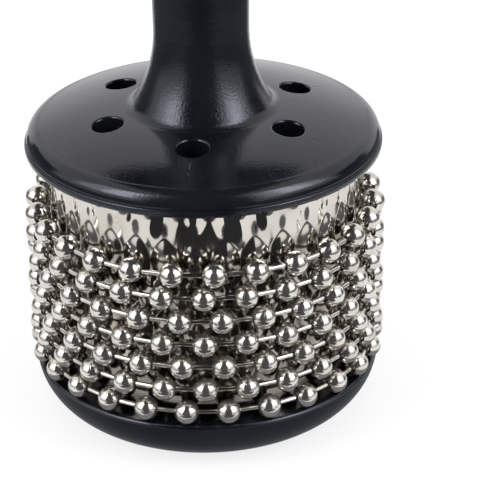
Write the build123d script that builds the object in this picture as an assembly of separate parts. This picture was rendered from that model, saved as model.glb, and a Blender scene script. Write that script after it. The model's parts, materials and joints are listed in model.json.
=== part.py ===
from build123d import *
import os
from math import cos, pi, radians, sin, sqrt, tan

# Cabasa, standing on its base: +Z up, origin at the centre of the foot, the player's side at -Y.
# All sizes are in millimetres.

# Ball chain
ball_d = 6.0
ball_wall = 0.35
ball_pitch = 10.1
wire_d = 1.2
head_lip = 0.15
link_play = 0.1
loop_gap = 0.15
loop_turns = (2.6, -1.0, 4.8, -1.0, 5.3, -0.9, 6.5)  # degrees at rest, top loop first

# Embossed drum sheet
disc_overhang = 6.4
sheet_t = 0.5
leaf_length = 12.0
leaf_width = 6.4
leaf_rise = 1.0
leaf_root = 0.3
leaf_taper = 55.0
leaf_count = 33
leaf_rows = 4
leaf_row_step = 9.0
leaf_turn = 7.0
plain_band = 8.6
seam_gap = 0.4
seam_margin = 1.0

# Core tube
core_wall = 2.5

# Clearances
seat_fit = 0.05
drum_gap = 0.3
free_height = 12.6

# Bottom cap
cap_inset = 0.4
cap_height = 13.7
cap_round = 15.0
cap_edge = 0.8
cap_wall = 3.0
groove_depth = 4.0
groove_play = 0.2
spigot_wall = 2.2
cap_hub_r = 10.0
foot_width = 7.0
foot_recess = 1.2
head_pocket_r = 7.0
head_pocket_depth = 7.5

# Disc and handle moulding
disc_r = 44.0
skirt_wall = 2.5
lip_height = 2.0
lip_groove = 0.5
lip_edge = 0.4
lip_round = 0.9
seat_rise = 3.2
web_rise = 6.0
crease_inset = 3.8
crease_rise = 6.2
dome_r = 93.0
foot_rise = 10.45
foot_fillet = 3.0
waist_r = 11.6
waist_rise = 30.0
flare_r = 34.0
swell_r = 14.2
swell_rise = 98.0
shoulder_r = 12.4
shoulder_rise = 123.0
shoulder_lean = 0.16
handle_rise = 132.0
bore_r = 7.0
bore_rise = 118.0
top_hub_r = 13.0
top_hub_rise = 2.0
spigot_drop = 2.5
vent_d = 7.6
vent_circle_r = 25.1
vent_count = 6
vent_turn = -6.0
vent_edge = 0.5

# Tie bolt and its fittings
bolt_d = 5.0
bolt_head_d = 8.5
bolt_head_height = 5.0
bolt_socket_d = 4.0
bolt_socket_depth = 2.5
bolt_grip = 14.0
bolt_play = 0.1
washer_d = 12.0
washer_t = 1.0
spring_d = 9.2
spring_t = 1.3
spring_split = 0.8
bush_length = 20.0
bush_flange_r = 10.5
bush_flange_t = 2.0

# Derived places
sheet_r = disc_r - disc_overhang
cap_r = disc_r - cap_inset
crease_r = disc_r - crease_inset
chain_r = sheet_r + leaf_rise + drum_gap + ball_d / 2
loop_step = ball_d + loop_gap
loop_count = len(loop_turns)
lowest_loop_z = cap_height + drum_gap + ball_d / 2
top_loop_z = lowest_loop_z + (loop_count - 1) * loop_step
rim_z = top_loop_z + ball_d / 2 + free_height
seat_z = cap_height - groove_depth
drum_top_z = rim_z + seat_rise
drum_length = drum_top_z - seat_z
core_r = sheet_r - sheet_t - seat_fit
core_bore_r = core_r - core_wall
spigot_r = core_bore_r - seat_fit
bolt_bore_r = bolt_d / 2 + bolt_play


def turned(outline):
    return revolve(Plane.XZ * make_face(outline), Axis.Z)


def lines(*points):
    return Polyline(*points).edges()


# One ball of the chain: a hollow shell with a hole at each end, its axis along X.
ball_count = round(2 * pi * chain_r / ball_pitch)
ball_step = 360 / ball_count
ball_r = ball_d / 2
shell_r = ball_r - ball_wall
wire_r = wire_d / 2
link_lean = ball_r * tan(radians(ball_step / 2))
hole_r = wire_r + link_lean + link_play
head_r = hole_r + head_lip


def chain_ball():
    outer = sqrt(ball_r**2 - hole_r**2)
    inner = sqrt(shell_r**2 - hole_r**2)
    wall = [
        ThreePointArc((-outer, hole_r), (0, ball_r), (outer, hole_r)),
        Line((outer, hole_r), (inner, hole_r)),
        ThreePointArc((inner, hole_r), (0, shell_r), (-inner, hole_r)),
        Line((-inner, hole_r), (-outer, hole_r)),
    ]
    return revolve(make_face(wall), Axis.X)


# One link: a wire with a domed head inside each of its two balls, along X.
def chain_link():
    half_chord = chain_r * sin(radians(ball_step / 2))
    head_back = half_chord - (shell_r - head_r - link_play)
    neck = head_back - sqrt(head_r**2 - wire_r**2)
    dome_x = head_back - head_r * cos(radians(60))
    dome_y = head_r * sin(radians(60))
    profile = [
        *lines((-head_back, 0), (-head_back, head_r)),
        ThreePointArc((-head_back, head_r), (-dome_x, dome_y), (-neck, wire_r)),
        Line((-neck, wire_r), (neck, wire_r)),
        ThreePointArc((neck, wire_r), (dome_x, dome_y), (head_back, head_r)),
        *lines((head_back, head_r), (head_back, 0), (-head_back, 0)),
    ]
    return revolve(make_face(profile), Axis.X)


def chain_loop(index):
    z = top_loop_z - index * loop_step
    chord_r = chain_r * cos(radians(ball_step / 2))
    balls = []
    links = []
    for i in range(ball_count):
        turn = loop_turns[index] + i * ball_step
        balls.append(Rot(0, 0, turn) * Pos(0, -chain_r, z) * ball)
        links.append(Rot(0, 0, turn + ball_step / 2) * Pos(0, -chord_r, z) * link)
    return Compound(balls), Compound(links)


# The sheet is rolled to a sleeve with a butt seam at the back, and pressed with rows of leaf-shaped bosses.
def sheet_leaf():
    half = leaf_length / 2
    outline = [
        ThreePointArc((0, -half), (leaf_width / 2, 0), (0, half)),
        ThreePointArc((0, half), (-leaf_width / 2, 0), (0, -half)),
    ]
    root = Plane(origin=(0, leaf_root - sheet_r, 0), x_dir=(1, 0, 0), z_dir=(0, -1, 0))
    return extrude(root * make_face(outline), leaf_root + leaf_rise, taper=leaf_taper)


def drum_sheet():
    sleeve = Cylinder(sheet_r, drum_length) - Cylinder(sheet_r - sheet_t, drum_length)
    sleeve = Pos(0, 0, seat_z + drum_length / 2) * sleeve
    leaf = sheet_leaf()
    leaf_step = 360 / leaf_count
    seam_half = (leaf_width / 2 + seam_margin) / radians(1) / sheet_r
    first_z = rim_z - plain_band - leaf_length / 2
    leaves = []
    for row in range(leaf_rows):
        for i in range(leaf_count):
            turn = (leaf_turn + leaf_step * (i + row % 2 / 2)) % 360
            if abs(turn - 180) > seam_half:
                leaves.append(Rot(0, 0, turn) * Pos(0, 0, first_z - row * leaf_row_step) * leaf)
    sleeve = sleeve.fuse(*[solid for piece in leaves for solid in piece.solids()])
    seam = Pos(0, sheet_r, seat_z + drum_length / 2) * Box(seam_gap, 4 * sheet_t, drum_length)
    return sleeve - seam


def core_tube():
    tube = Cylinder(core_r, drum_length) - Cylinder(core_bore_r, drum_length)
    return Pos(0, 0, seat_z + drum_length / 2) * tube


# The bottom cap is a round-edged dish: its groove holds the sheet and the core, its shoulder stops the chain.
def bottom_cap():
    flat_r = cap_r - cap_round
    inner_round = cap_round - cap_wall
    spigot_in_r = spigot_r - spigot_wall
    groove_r = sheet_r + groove_play
    wall_foot = cap_round - sqrt(inner_round**2 - (spigot_in_r - flat_r) ** 2)
    shoulder_r_out = flat_r + sqrt(cap_round**2 - (cap_round - cap_height) ** 2)
    half_turn = radians(45)
    outer_mid = (flat_r + cap_round * sin(half_turn), cap_round - cap_round * cos(half_turn))
    inner_turn = radians(12)
    inner_mid = (flat_r + inner_round * sin(inner_turn), cap_round - inner_round * cos(inner_turn))
    foot_in_r = flat_r - foot_width
    outline = [
        *lines(
            (bolt_bore_r, head_pocket_depth),
            (bolt_bore_r, cap_height),
            (cap_hub_r, cap_height),
            (cap_hub_r, cap_wall),
            (flat_r, cap_wall),
        ),
        ThreePointArc((flat_r, cap_wall), inner_mid, (spigot_in_r, wall_foot)),
        *lines(
            (spigot_in_r, wall_foot),
            (spigot_in_r, cap_height),
            (spigot_r, cap_height),
            (spigot_r, seat_z),
            (groove_r, seat_z),
            (groove_r, cap_height),
            (shoulder_r_out, cap_height),
        ),
        ThreePointArc((shoulder_r_out, cap_height), outer_mid, (flat_r, 0)),
        *lines(
            (flat_r, 0),
            (foot_in_r, 0),
            (foot_in_r, foot_recess),
            (head_pocket_r, foot_recess),
            (head_pocket_r, head_pocket_depth),
            (bolt_bore_r, head_pocket_depth),
        ),
    ]
    cap = turned(outline)
    rim = cap.edges().filter_by(GeomType.CIRCLE).sort_by(lambda edge: edge.radius)[-1]
    return fillet(rim, cap_edge)


# Disc, neck and grip are one black moulding, hollow up the handle.
def handle_disc():
    flare_drop = waist_rise - foot_rise
    foot_r = waist_r + flare_r - sqrt(flare_r**2 - flare_drop**2)
    flare_mid = (waist_r + flare_r - sqrt(flare_r**2 - flare_drop**2 / 4), waist_rise - flare_drop / 2)
    edge_r = disc_r - lip_groove
    edge_rise = lip_height + lip_groove
    skirt_r = disc_r - skirt_wall
    spigot_in_r = spigot_r - spigot_wall
    outline = [
        Spline((0, handle_rise), (shoulder_r, shoulder_rise), tangents=((1, 0), (shoulder_lean, -1))),
        Spline((shoulder_r, shoulder_rise), (swell_r, swell_rise), tangents=((shoulder_lean, -1), (0, -1))),
        Spline((swell_r, swell_rise), (waist_r, waist_rise), tangents=((0, -1), (0, -1))),
        ThreePointArc((waist_r, waist_rise), flare_mid, (foot_r, foot_rise)),
        RadiusArc((foot_r, foot_rise), (crease_r, crease_rise), dome_r),
        TangentArc((edge_r, edge_rise), (crease_r, crease_rise), tangent=(0, 1)),
        *lines(
            (edge_r, edge_rise),
            (edge_r, lip_height),
            (disc_r, lip_height),
            (disc_r, 0),
            (skirt_r, 0),
            (skirt_r, seat_rise),
            (spigot_r, seat_rise),
            (spigot_r, -spigot_drop),
            (spigot_in_r, -spigot_drop),
            (spigot_in_r, web_rise),
            (top_hub_r, web_rise),
            (top_hub_r, top_hub_rise),
            (bore_r, top_hub_rise),
            (bore_r, bore_rise),
            (0, bore_rise),
            (0, handle_rise),
        ),
    ]
    section = make_face(outline)
    rounds = (((foot_r, foot_rise), foot_fillet), ((disc_r, lip_height), lip_edge), ((disc_r, 0), lip_round))
    for corner, radius in rounds:
        section = fillet(section.vertices().sort_by_distance(corner)[0], radius)
    moulding = revolve(Plane.XZ * section, Axis.Z)
    vent_height = 4 * foot_rise
    for i in range(vent_count):
        turn = vent_turn + i * 360 / vent_count
        moulding -= Rot(0, 0, turn) * Pos(0, -vent_circle_r, 0) * Cylinder(vent_d / 2, vent_height)
    mouths = moulding.edges().filter_by(lambda edge: web_rise + vent_edge < edge.center().Z < foot_rise)
    mouths = mouths.filter_by(lambda edge: edge.is_closed and edge.length < 4 * vent_d)
    return Pos(0, 0, rim_z) * fillet(mouths, vent_edge)


# A long bolt runs up the middle of the drum into a bush in the neck and clamps the two ends on the core.
washer_z = head_pocket_depth - washer_t
spring_z = washer_z - spring_t
bush_z = rim_z + top_hub_rise
bolt_tip_z = bush_z + bolt_grip


def neck_bush():
    body = Cylinder(bore_r - seat_fit, bush_length, align=(Align.CENTER, Align.CENTER, Align.MIN))
    flange = Cylinder(bush_flange_r, bush_flange_t, align=(Align.CENTER, Align.CENTER, Align.MAX))
    bore = Cylinder(bolt_bore_r, 2 * bush_length + 2 * bush_flange_t)
    return Pos(0, 0, bush_z) * (body + flange - bore)


def tie_bolt():
    shank_length = bolt_tip_z - spring_z
    shank = Cylinder(bolt_d / 2, shank_length, align=(Align.CENTER, Align.CENTER, Align.MIN))
    head = Cylinder(bolt_head_d / 2, bolt_head_height, align=(Align.CENTER, Align.CENTER, Align.MAX))
    socket = extrude(RegularPolygon(bolt_socket_d / 2, 6, major_radius=False), bolt_socket_depth)
    bolt = shank + head - Pos(0, 0, -bolt_head_height) * socket
    return Pos(0, 0, spring_z) * bolt


def flat_washer():
    ring = Cylinder(washer_d / 2, washer_t) - Cylinder(bolt_bore_r, washer_t)
    return Pos(0, 0, washer_z + washer_t / 2) * ring


def spring_washer():
    ring = Cylinder(spring_d / 2, spring_t) - Cylinder(bolt_bore_r, spring_t)
    ring -= Pos(0, spring_d / 2, 0) * Box(spring_split, spring_d, spring_t)
    return Pos(0, 0, spring_z + spring_t / 2) * ring


ball = chain_ball()
link = chain_link()
nodes = {
    "handle_disc": handle_disc(),
    "neck_bush": neck_bush(),
    "drum_sheet": drum_sheet(),
    "core_tube": core_tube(),
    "bottom_cap": bottom_cap(),
    "tie_bolt": tie_bolt(),
    "flat_washer": flat_washer(),
    "spring_washer": spring_washer(),
}
for index in range(loop_count):
    balls, links = chain_loop(index)
    nodes[f"chain_loop_{index + 1}_balls"] = balls
    nodes[f"chain_loop_{index + 1}_links"] = links

os.makedirs("parts", exist_ok=True)
for name, shape in nodes.items():
    export_step(shape, f"parts/{name}.step")
print(f"{len(nodes)} nodes, {loop_count} loops of {ball_count} balls, rim at {rim_z:.2f} mm")
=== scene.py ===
import bpy
import json
import math
import numpy as np
from mathutils import Matrix, Vector


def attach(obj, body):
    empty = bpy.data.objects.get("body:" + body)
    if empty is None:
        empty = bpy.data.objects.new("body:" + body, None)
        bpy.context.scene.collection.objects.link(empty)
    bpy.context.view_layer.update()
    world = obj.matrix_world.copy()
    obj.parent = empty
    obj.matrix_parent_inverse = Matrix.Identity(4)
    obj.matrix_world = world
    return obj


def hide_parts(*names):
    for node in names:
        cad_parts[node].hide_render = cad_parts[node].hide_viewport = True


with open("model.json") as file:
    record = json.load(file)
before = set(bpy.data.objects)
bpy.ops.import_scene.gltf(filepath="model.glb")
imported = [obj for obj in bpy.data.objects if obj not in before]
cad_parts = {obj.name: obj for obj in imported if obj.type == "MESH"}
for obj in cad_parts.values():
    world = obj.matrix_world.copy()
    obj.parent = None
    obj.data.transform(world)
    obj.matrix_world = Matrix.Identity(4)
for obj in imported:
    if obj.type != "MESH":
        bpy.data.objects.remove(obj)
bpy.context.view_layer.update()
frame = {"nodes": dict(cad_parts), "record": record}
scene = bpy.context.scene
scene.view_settings.view_transform = "Standard"
print("frame loaded")

mm = 0.001


# Faces of a grid: each point joins the next column and the next row, around the end again if it is closed
def gridFaces(rows, columns, closed):
    r = np.arange(rows if closed else rows - 1)[:, None]
    c = np.arange(columns if closed else columns - 1)[None, :]
    r1 = (r + 1) % rows
    c1 = (c + 1) % columns
    corners = [r * columns + c, r * columns + c1, r1 * columns + c1, r1 * columns + c]
    return np.stack(np.broadcast_arrays(*corners), -1).reshape(-1, 4)


def newObject(name, points, faces, material):
    mesh = bpy.data.meshes.new(name)
    mesh.from_pydata(np.asarray(points, dtype=float).tolist(), [], np.asarray(faces).tolist())
    mesh.polygons.foreach_set("use_smooth", np.ones(len(mesh.polygons), dtype=bool))
    mesh.materials.append(material)
    piece = bpy.data.objects.new(name, mesh)
    scene.collection.objects.link(piece)
    return piece


# Node helpers: one line makes a node, sets its values and joins its inputs
def addNode(tree, kind, inputs=None, **settings):
    node = tree.nodes.new(kind)
    for key, value in settings.items():
        setattr(node, key, value)
    for key, value in (inputs or {}).items():
        if isinstance(value, bpy.types.NodeSocket):
            tree.links.new(value, node.inputs[key])
        else:
            node.inputs[key].default_value = value
    return node


def mathNode(tree, operation, a, b=0.0, c=0.0):
    return addNode(tree, "ShaderNodeMath", {0: a, 1: b, 2: c}, operation=operation).outputs[0]


def rangeNode(tree, value, low, high, toLow=0.0, toHigh=1.0):
    inputs = {"Value": value, "From Min": low, "From Max": high, "To Min": toLow, "To Max": toHigh}
    return addNode(tree, "ShaderNodeMapRange", inputs, interpolation_type="SMOOTHSTEP").outputs["Result"]


# Nought at the first length and one, or the given share, at the second, both in millimetres
def fadeNode(tree, value, ends, share=1.0):
    return rangeNode(tree, value, ends[0] * mm, ends[1] * mm, 0.0, share)


def noiseNode(tree, vector, scale, detail=2.0):
    inputs = {"Vector": vector, "Scale": scale, "Detail": detail}
    return addNode(tree, "ShaderNodeTexNoise", inputs).outputs["Fac"]


def mixColour(tree, factor, a, b):
    node = addNode(tree, "ShaderNodeMix", {"Factor": factor, "A": a, "B": b}, data_type="RGBA")
    return node.outputs["Result"]


# Shared effect: a film of handling marks, as a mask, and a fine grain cut by scratches, as a height
marksValues = {
    "smudgeDetail": 4.0,
    "smudgeRange": (0.35, 0.68),
    "scratchDetail": 1.0,
    "scratchRange": (0.64, 0.72),
    "scratchTurn": (0.4, 0.9, 0.2),
    "scratchScale": (1.0, 0.06, 0.5),
    "scratchDepth": 0.3,
}


def buildSurfaceMarks():
    v = marksValues
    group = bpy.data.node_groups.new("surfaceMarks", "ShaderNodeTree")
    for name in ("Grain Scale", "Smudge Scale"):
        group.interface.new_socket(name, in_out="INPUT", socket_type="NodeSocketFloat")
    for name in ("Smudge", "Height"):
        group.interface.new_socket(name, in_out="OUTPUT", socket_type="NodeSocketFloat")
    source = group.nodes.new("NodeGroupInput").outputs
    place = group.nodes.new("ShaderNodeTexCoord").outputs["Object"]
    film = noiseNode(group, place, source["Smudge Scale"], v["smudgeDetail"])
    smudge = rangeNode(group, film, *v["smudgeRange"])
    grain = noiseNode(group, place, source["Grain Scale"])
    stretch = {"Vector": place, "Rotation": v["scratchTurn"], "Scale": v["scratchScale"]}
    stretched = addNode(group, "ShaderNodeMapping", stretch).outputs["Vector"]
    lines = noiseNode(group, stretched, source["Grain Scale"], v["scratchDetail"])
    scratch = rangeNode(group, lines, *v["scratchRange"])
    height = mathNode(group, "MULTIPLY_ADD", scratch, -v["scratchDepth"], grain)
    sink = group.nodes.new("NodeGroupOutput").inputs
    for name, value in (("Smudge", smudge), ("Height", height)):
        group.links.new(value, sink[name])
    return group


# Shared effect: where a point lies about the axis, as its angle from the front, its distance and its height
def buildAxisPlace():
    group = bpy.data.node_groups.new("axisPlace", "ShaderNodeTree")
    for name in ("Angle", "Across", "Height"):
        group.interface.new_socket(name, in_out="OUTPUT", socket_type="NodeSocketFloat")
    place = group.nodes.new("ShaderNodeTexCoord").outputs["Object"]
    axis = addNode(group, "ShaderNodeSeparateXYZ", {"Vector": place}).outputs
    angle = mathNode(group, "ARCTAN2", axis["X"], mathNode(group, "MULTIPLY", axis["Y"], -1.0))
    square = mathNode(group, "MULTIPLY", axis["Y"], axis["Y"])
    across = mathNode(group, "POWER", mathNode(group, "MULTIPLY_ADD", axis["X"], axis["X"], square), 0.5)
    sink = group.nodes.new("NodeGroupOutput").inputs
    for name, value in (("Angle", angle), ("Across", across), ("Height", axis["Z"])):
        group.links.new(value, sink[name])
    return group


surfaceMarks = buildSurfaceMarks()
axisPlace = buildAxisPlace()


def newMaterial(name, **sockets):
    material = bpy.data.materials.new(name)
    material.use_nodes = True
    shader = material.node_tree.nodes["Principled BSDF"]
    for key, value in sockets.items():
        shader.inputs[key].default_value = value
    return material, material.node_tree, shader


# One material's copies of the shared effects
def placeMarks(tree, v):
    marks = addNode(tree, "ShaderNodeGroup", node_tree=surfaceMarks)
    marks.inputs["Grain Scale"].default_value = v["grainScale"]
    marks.inputs["Smudge Scale"].default_value = v["smudgeScale"]
    return marks.outputs


def placeAbout(tree):
    return addNode(tree, "ShaderNodeGroup", node_tree=axisPlace).outputs


def setBump(tree, shader, height, strength, distance):
    inputs = {"Height": height, "Strength": strength, "Distance": distance}
    bump = addNode(tree, "ShaderNodeBump", inputs)
    tree.links.new(bump.outputs["Normal"], shader.inputs["Normal"])


# Black moulding: blue-black, semi-gloss, a fine moulded grain, and weld lines running out from the vents
mouldingValues = {
    "colour": (0.003, 0.0034, 0.0055, 1),
    "worn": (0.006, 0.0066, 0.009, 1),
    "tint": (0.90, 0.91, 1.0, 1),
    "roughness": (0.10, 0.17),
    "grainScale": 1800.0,
    "smudgeScale": 55.0,
    "bump": 0.42,
    "bumpDepth": 0.00006,
    "neckRadius": (21.0, 16.0),
    "neckRoughness": 0.06,
    "neckBump": 0.4,
    "partingTurn": -24.0,
    "partingRadius": (21.0, 18.0),
    "partingDepth": 0.08,
    "ventTurn": -6.0,
    "ventCount": 6,
    "weldStart": (29.0, 31.0),
    "weldEnd": (39.0, 33.0),
    "weldWidth": 0.25,
    "weldBreaks": 260.0,
    "weldBreakRange": (0.4, 0.6),
    "weldDepth": 3.0,
}


# Lines about the axis: one where the turn, folded back and forth over half its step, is nearly nought
def radialLine(tree, about, turn, step, width):
    turned = mathNode(tree, "SUBTRACT", about["Angle"], math.radians(turn))
    offLine = mathNode(tree, "PINGPONG", turned, math.radians(step / 2))
    return fadeNode(tree, mathNode(tree, "MULTIPLY", offLine, about["Across"]), (width, 0.0))


# Weld lines outside the vents, and the mould's parting line up the two sides of the neck
def mouldLines(tree, about):
    v = mouldingValues
    place = addNode(tree, "ShaderNodeTexCoord").outputs["Object"]
    weld = radialLine(tree, about, v["ventTurn"], 360 / v["ventCount"], v["weldWidth"])
    broken = rangeNode(tree, noiseNode(tree, place, v["weldBreaks"]), *v["weldBreakRange"])
    start = fadeNode(tree, about["Across"], v["weldStart"])
    end = fadeNode(tree, about["Across"], v["weldEnd"])
    weld = mathNode(tree, "MULTIPLY", weld, broken)
    weld = mathNode(tree, "MULTIPLY", weld, mathNode(tree, "MULTIPLY", start, end))
    parting = radialLine(tree, about, v["partingTurn"], 180, v["weldWidth"])
    neck = fadeNode(tree, about["Across"], v["partingRadius"], v["partingDepth"])
    return mathNode(tree, "MULTIPLY_ADD", parting, neck, weld)


def buildMoulding():
    v = mouldingValues
    material, tree, shader = newMaterial("blackMoulding", **{"Specular Tint": v["tint"]})
    marks = placeMarks(tree, v)
    about = placeAbout(tree)
    neck = fadeNode(tree, about["Across"], v["neckRadius"])
    roughness = rangeNode(tree, marks["Smudge"], 0.0, 1.0, *v["roughness"])
    roughness = mathNode(tree, "MULTIPLY_ADD", neck, v["neckRoughness"], roughness)
    tree.links.new(mixColour(tree, marks["Smudge"], v["colour"], v["worn"]), shader.inputs["Base Color"])
    tree.links.new(roughness, shader.inputs["Roughness"])
    height = mathNode(tree, "MULTIPLY_ADD", mouldLines(tree, about), -v["weldDepth"], marks["Height"])
    strength = mathNode(tree, "MULTIPLY_ADD", neck, v["neckBump"], v["bump"])
    setBump(tree, shader, height, strength, v["bumpDepth"])
    return material


# One recipe for the plated and bare metals and, with no metal in it, for the plastic core
plateValues = {
    # The tarnish entries set painted shade, with tarnish, on each metal's side towards the axis and, for the
    # sheet, below its plain band
    "ballNickel": {"metal": 0.955,
                   "colour": (0.70, 0.67, 0.63, 1), "worn": (0.60, 0.56, 0.51, 1), "roughness": (0.09, 0.17),
                   "grainScale": 1500.0, "smudgeScale": 210.0, "bump": 0.6, "bumpDepth": 0.00008,
                   "shadeAndTarnish": 0.3, "shadeAndTarnishAcross": (41.4, 39.6), "shadeAndTarnishHeight": (75, 70)},
    "linkNickel": {"metal": 1.0,
                   "colour": (0.67, 0.64, 0.60, 1), "worn": (0.53, 0.49, 0.45, 1), "roughness": (0.10, 0.22),
                   "grainScale": 1800.0, "smudgeScale": 300.0, "bump": 0.12, "bumpDepth": 0.00005,
                   "shadeAndTarnish": 0.3, "shadeAndTarnishAcross": (41.8, 41.1), "shadeAndTarnishHeight": (75, 70)},
    "drumSteel": {"metal": 1.0,
                  "colour": (0.66, 0.63, 0.58, 1), "worn": (0.57, 0.53, 0.475, 1), "roughness": (0.05, 0.12),
                  "grainScale": 700.0, "smudgeScale": 90.0, "bump": 0.10, "bumpDepth": 0.00008,
                  "shadeAndTarnish": 0.7, "shadeAndTarnishAcross": (39.3, 37.8), "shadeAndTarnishHeight": (60.0, 54.0),
                  "rubbed": 0.05, "rubbedHeight": (63.0, 59.0)},
    "boltSteel": {"metal": 1.0,
                  "colour": (0.55, 0.55, 0.56, 1), "worn": (0.42, 0.42, 0.42, 1), "roughness": (0.28, 0.42),
                  "grainScale": 2200.0, "smudgeScale": 200.0, "bump": 0.2, "bumpDepth": 0.00005},
    "bushBrass": {"metal": 1.0,
                  "colour": (0.72, 0.55, 0.28, 1), "worn": (0.55, 0.40, 0.19, 1), "roughness": (0.25, 0.4),
                  "grainScale": 2200.0, "smudgeScale": 160.0, "bump": 0.2, "bumpDepth": 0.00005},
    "corePlastic": {"metal": 0.0,
                    "colour": (0.02, 0.02, 0.021, 1), "worn": (0.035, 0.035, 0.035, 1),
                    "roughness": (0.5, 0.65),
                    "grainScale": 2000.0, "smudgeScale": 80.0, "bump": 0.3, "bumpDepth": 0.00005},
}
# Dark brown for painted shade in the gaps, together with tarnish
shadeAndTarnishColour = (0.065, 0.052, 0.036, 1)


# Painted shade together with tarnish where nothing rubs: darker brown on the side towards the axis, and
# below the plain band of the sheet, where the gaps lie in shade
def shadeAndTarnishMask(tree, v):
    about = placeAbout(tree)
    inside = fadeNode(tree, about["Across"], v["shadeAndTarnishAcross"], v["shadeAndTarnish"])
    return mathNode(tree, "MULTIPLY", inside, fadeNode(tree, about["Height"], v["shadeAndTarnishHeight"]))


def buildPlate(name):
    v = plateValues[name]
    material, tree, shader = newMaterial(name, Metallic=v["metal"])
    marks = placeMarks(tree, v)
    colour = mixColour(tree, marks["Smudge"], v["colour"], v["worn"])
    # Painted shade with tarnish: the inner sides and the lower sheet are mixed towards dark brown
    if "shadeAndTarnish" in v:
        colour = mixColour(tree, shadeAndTarnishMask(tree, v), colour, shadeAndTarnishColour)
    roughness = rangeNode(tree, marks["Smudge"], 0.0, 1.0, *v["roughness"])
    if "rubbed" in v:  # the sheet is duller where the chains rub it
        worn = fadeNode(tree, placeAbout(tree)["Height"], v["rubbedHeight"])
        roughness = mathNode(tree, "MULTIPLY_ADD", worn, v["rubbed"], roughness)
    tree.links.new(colour, shader.inputs["Base Color"])
    tree.links.new(roughness, shader.inputs["Roughness"])
    setBump(tree, shader, marks["Height"], v["bump"], v["bumpDepth"])
    return material


finishes = {name: buildPlate(name) for name in plateValues}
finishes["blackMoulding"] = buildMoulding()

slotFinish = {
    "black_moulding": "blackMoulding",
    "core_plastic": "corePlastic",
    "drum_steel": "drumSteel",
    "ball_nickel": "ballNickel",
    "link_nickel": "linkNickel",
    "bolt_steel": "boltSteel",
    "brass_bush": "bushBrass",
}
for part in frame["record"]["subparts"]:
    materials = frame["nodes"][part["node"]].data.materials
    materials.clear()
    materials.append(finishes[slotFinish[part["material_slot"]]])
print("finishes set")

# Embossed sleeve: rows of pointed leaves pressed out of a rolled sheet, with a butt seam at the back
sleeveValues = {
    "radius": 37.6,
    "thickness": 0.5,
    "columns": 33 * 22,  # 22 to each leaf
    "bands": ((9.7, 64), (45.0, 48), (62.0, 17), (72.7, 1)),  # start of each band of mesh rows, and its rows
    "leafCount": 33,
    "leafTurn": 7.0,
    "leafLength": 12.0,
    "leafWidth": 6.4,
    "leafRise": 1.0,
    "leafTop": 54.9,
    "rowStep": 9.0,
    "rowCount": 4,
    "spineRound": 0.5,
    "footRound": 0.16,
    "seamGap": 0.4,
    "seamDepth": 0.4,
    "seamMargin": 1.0,
    "seamColumns": (-1.3, -1.05, -0.95, 0.0, 0.95, 1.05, 1.3),  # in halves of the gap
    "seamClear": 2.0,
    "dimple": 0.5,
    "dimpleLift": 0.15,
    "dimpleHeight": 65.6,
    "dimpleReach": 3.7,
    "wave": 0.05,
    "waveCounts": (5, 11),
    "waveLeans": (0.06, 0.11),
    "waveStart": 0.6,
}


# Leaf height: the distance in from the outline, two arcs that meet in points, eased at the foot and swelling
# like a cushion: one less the square of what is left to the spine
def leafHeight(across, along):
    v = sleeveValues
    half = v["leafWidth"] / 2
    arc = (v["leafLength"] ** 2 / 4 + half**2) / (2 * half)
    soft = np.sqrt(across**2 + v["spineRound"] ** 2) - v["spineRound"]
    inside = np.clip((arc - np.hypot(soft + arc - half, along)) / half, 0, 1)
    eased = np.hypot(inside, v["footRound"]) - v["footRound"]
    return v["leafRise"] * (1 - (1 - np.minimum(eased, 1)) ** 2)


# Sleeve radius at each turn and height: the base, plus leaves and waves, less the dimples and the seam
def sleeveRadius(turn, height):
    v = sleeveValues
    step = 2 * math.pi / v["leafCount"]
    firstTurn = math.radians(v["leafTurn"])
    seamHalf = (v["leafWidth"] / 2 + v["seamMargin"]) / v["radius"]
    rise = np.zeros(np.broadcast(turn, height).shape)
    for row in range(v["rowCount"]):
        first = firstTurn + step * (row % 2) / 2
        local = (turn - first + step / 2) % step - step / 2
        centre = (turn - local) % (2 * math.pi)
        clear = np.abs(centre - math.pi) > seamHalf
        leaf = leafHeight(local * v["radius"], height - (v["leafTop"] - row * v["rowStep"]))
        rise = np.maximum(rise, leaf * clear)
    fade = np.exp(-(((height - v["dimpleHeight"]) / v["dimpleReach"]) ** 2))
    drawn = (v["dimple"] * np.cos((turn - firstTurn) * v["leafCount"]) - v["dimpleLift"]) * fade
    (few, many), (lean, counterLean) = v["waveCounts"], v["waveLeans"]
    broad = np.sin(turn * few + v["waveStart"] + height * lean)
    wave = v["wave"] * broad * np.sin(turn * many - height * counterLean)
    seam = np.abs((turn - math.pi) * v["radius"]) < v["seamGap"] / 2
    return v["radius"] + rise - drawn + wave - seam * v["seamDepth"]


# Sleeve: the outer surface on a grid of turns and heights, closed over the top and bottom by an inner wall
def buildSleeve():
    v = sleeveValues
    edge = v["seamGap"] / 2 / v["radius"]
    seam = math.pi + edge * np.array(v["seamColumns"])
    even = np.linspace(0, 2 * math.pi, v["columns"], endpoint=False)
    even = even[np.abs(even - math.pi) > v["seamClear"] * edge]
    turn = np.sort(np.concatenate([even, seam]))[None, :]
    starts = [low for low, count in v["bands"]]
    counts = [count for low, count in v["bands"]]
    height = np.interp(np.arange(sum(counts)), np.cumsum([0] + counts[:-1]), starts)[:, None]
    outer = sleeveRadius(turn, height)
    inner = np.full((2, turn.size), v["radius"] - v["thickness"])
    radius = np.concatenate([outer, inner])
    level = np.concatenate([height, height[-1:], height[:1]]) + 0 * turn
    points = np.stack([radius * np.sin(turn), -radius * np.cos(turn), level], -1).reshape(-1, 3)
    faces = gridFaces(len(radius), turn.size, True)
    sleeve = newObject("embossedSleeve", points * mm, faces, finishes["drumSteel"])
    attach(sleeve, "drum")
    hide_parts("drum_sheet")


buildSleeve()
print("sleeve built")
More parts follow.
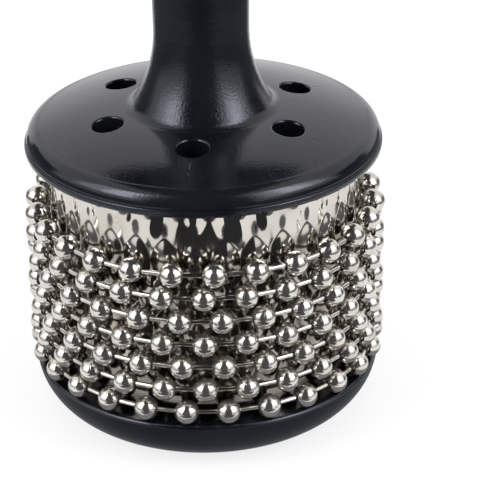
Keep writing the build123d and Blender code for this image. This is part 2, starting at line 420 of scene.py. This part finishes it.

# Stage: a pale floor, a white surround for what the camera and the metal see, and cards for reflections,
# among them a painted shadow round the base
stageValues = {
    "floorColour": (0.97, 0.97, 0.97, 1),
    "floorRoughness": 0.9,
    "floorHalf": 3.0,
    "shadowShare": 0.22,
    "fill": 0.95,
    "lampColour": (0.92, 0.945, 1.0),
    "cardColumns": 49,
}
cardValues = {
    "front": {"glow": 0.035, "turns": (-36, 30), "rings": ((0.21, 0.0012), (0.75, 0.0012), (0.75, 0.9))},
    # A dim ring close round the base: painted shade, standing for the object's shadow on the floor as
    # reflections see it
    "ground": {"glow": 0.23, "turns": (-180, 180), "rings": ((0.02, 0.001), (0.064, 0.001))},
    "far": {"glow": 0.16, "turns": (-148, 148), "rings": ((0.19, 0.001), (1.5, 0.001))},
    "leftWing": {"glow": 0.12, "turns": (-140, -105), "rings": ((1.5, 0.001), (1.5, 0.6))},
    "rightWing": {"glow": 0.12, "turns": (90, 122), "rings": ((1.5, 0.001), (1.5, 0.6))},
    "path": {"glow": 0.035, "low": (-0.06, -0.22, 0.0011), "high": (0.055, -0.066, 0.0011)},
    "roof": {"glow": 0.02, "low": (-0.2, -0.85, 0.62), "high": (0.2, 0.43, 0.62)},
}
lampValues = {
    "left": {"turn": -64.0, "distance": 1.0, "height": 0.84, "size": (0.84, 1.1), "power": 6.0},
    "leftHeart": {"turn": -57.0, "distance": 0.99, "height": 0.9, "size": (0.36, 1.0), "power": 5.0},
    "right": {"turn": 60.0, "distance": 1.0, "height": 0.84, "size": (0.84, 1.1), "power": 6.0},
    "rightHeart": {"turn": 60.0, "distance": 0.99, "height": 0.9, "size": (0.36, 1.0), "power": 5.0},
    "back": {"turn": 180.0, "distance": 1.2, "height": 0.24, "size": (1.6, 0.48), "power": 0.4},
}


# One for what the camera sees, straight or in gloss and glass, and nought for plain light
def seenRays(tree):
    path = addNode(tree, "ShaderNodeLightPath").outputs
    seen = mathNode(tree, "MAXIMUM", path["Is Camera Ray"], path["Is Glossy Ray"])
    return mathNode(tree, "MAXIMUM", seen, path["Is Transmission Ray"])


def buildWorld():
    world = bpy.data.worlds.new("studio")
    scene.world = world
    world.use_nodes = True
    tree = world.node_tree
    background = tree.nodes["Background"]
    background.inputs["Color"].default_value = (1, 1, 1, 1)
    strength = rangeNode(tree, seenRays(tree), 0.0, 1.0, stageValues["fill"], 1.0)
    tree.links.new(strength, background.inputs["Strength"])


# Floor: white where it is seen, with a share of lit paper that keeps the object's shadow
def buildFloor():
    half = stageValues["floorHalf"]
    material, tree, shader = newMaterial("floorPaper", Roughness=stageValues["floorRoughness"])
    shader.inputs["Base Color"].default_value = stageValues["floorColour"]
    glow = addNode(tree, "ShaderNodeEmission", {"Color": (1, 1, 1, 1), "Strength": 1.0})
    share = mathNode(tree, "MULTIPLY", seenRays(tree), 1 - stageValues["shadowShare"])
    mix = addNode(tree, "ShaderNodeMixShader", {0: share, 1: shader.outputs[0], 2: glow.outputs[0]})
    tree.links.new(mix.outputs[0], tree.nodes["Material Output"].inputs["Surface"])
    corners = [(-half, -half, 0), (half, -half, 0), (half, half, 0), (-half, half, 0)]
    newObject("floor", corners, [(0, 1, 2, 3)], material)


# A card is only seen in reflections: it throws no shadow and lights nothing else
def addCard(name, points):
    material, tree, shader = newMaterial(name + "Card")
    colour = (*stageValues["lampColour"], 1)
    glow = addNode(tree, "ShaderNodeEmission", {"Color": colour, "Strength": cardValues[name]["glow"]})
    tree.links.new(glow.outputs[0], tree.nodes["Material Output"].inputs["Surface"])
    faces = gridFaces(*points.shape[:2], False)
    card = newObject(name + "Card", points.reshape(-1, 3), faces, material)
    card.visible_camera = False
    card.visible_diffuse = False
    card.visible_shadow = False
    card.visible_transmission = False


# Cards are rings or walls about the axis, or flat rectangles between two corners
def buildCards():
    corners = np.array([[(0, 0, 0), (1, 0, 0)], [(0, 1, 0), (1, 1, 0)]])
    for name, v in cardValues.items():
        if "rings" in v:
            turn = np.radians(np.linspace(*v["turns"], stageValues["cardColumns"]))
            ring = np.array(v["rings"])
            radius, level = ring[:, :1], ring[:, 1:]
            points = np.stack([radius * np.sin(turn), -radius * np.cos(turn), level + 0 * turn], -1)
        else:
            low, high = np.array(v["low"]), np.array(v["high"])
            points = low + corners * (high - low)
        addCard(name, points)


def buildLamps():
    for name, v in lampValues.items():
        turn = math.radians(v["turn"])
        place = Vector((math.sin(turn), -math.cos(turn), 0)) * v["distance"] + Vector((0, 0, v["height"]))
        data = bpy.data.lights.new(name + "Softbox", "AREA")
        data.shape = "RECTANGLE"
        data.size, data.size_y = v["size"]
        data.energy = v["power"]
        data.color = stageValues["lampColour"]
        lamp = bpy.data.objects.new(name + "Softbox", data)
        lamp.location = place
        lamp.rotation_euler = Vector((-place.x, -place.y, 0)).to_track_quat("-Z", "Y").to_euler()
        lamp.visible_camera = False
        scene.collection.objects.link(lamp)


buildWorld()
buildFloor()
buildCards()
buildLamps()
print("stage lit")

# Camera: the centre of the disc's rim is held at its place in the picture
cameraValues = {
    "focus": (0, 0, 69.5),
    "focusPixel": (203.5, 141.5),
    "distance": 587.0,
    "elevation": 24.17,
    "roll": -1.17,
    "lens": 178.5,
    "sensor": 36.0,
    "picture": 480,
    "clipEnd": 20,
}


def buildCamera():
    v = cameraValues
    up = math.radians(v["elevation"])
    back = Vector((0, -math.cos(up), math.sin(up)))
    right = Vector((1, 0, 0))
    facing = Matrix((right, back.cross(right), back)).transposed()
    pixels = v["lens"] / v["sensor"] * v["picture"]
    half = v["picture"] / 2
    ray = Vector((v["focusPixel"][0] - half, half - v["focusPixel"][1], -pixels))
    aim = ray.rotation_difference(Vector((0, 0, -1))).to_matrix()
    roll = Matrix.Rotation(math.radians(v["roll"]), 3, "Z")
    place = (Vector(v["focus"]) + back * v["distance"]) * mm
    data = bpy.data.cameras.new("camera")
    data.lens = v["lens"]
    data.sensor_width = v["sensor"]
    data.clip_end = v["clipEnd"]
    camera = bpy.data.objects.new("camera", data)
    scene.collection.objects.link(camera)
    camera.matrix_world = Matrix.Translation(place) @ (facing @ roll @ aim).to_4x4()
    scene.camera = camera


buildCamera()
print("camera set")
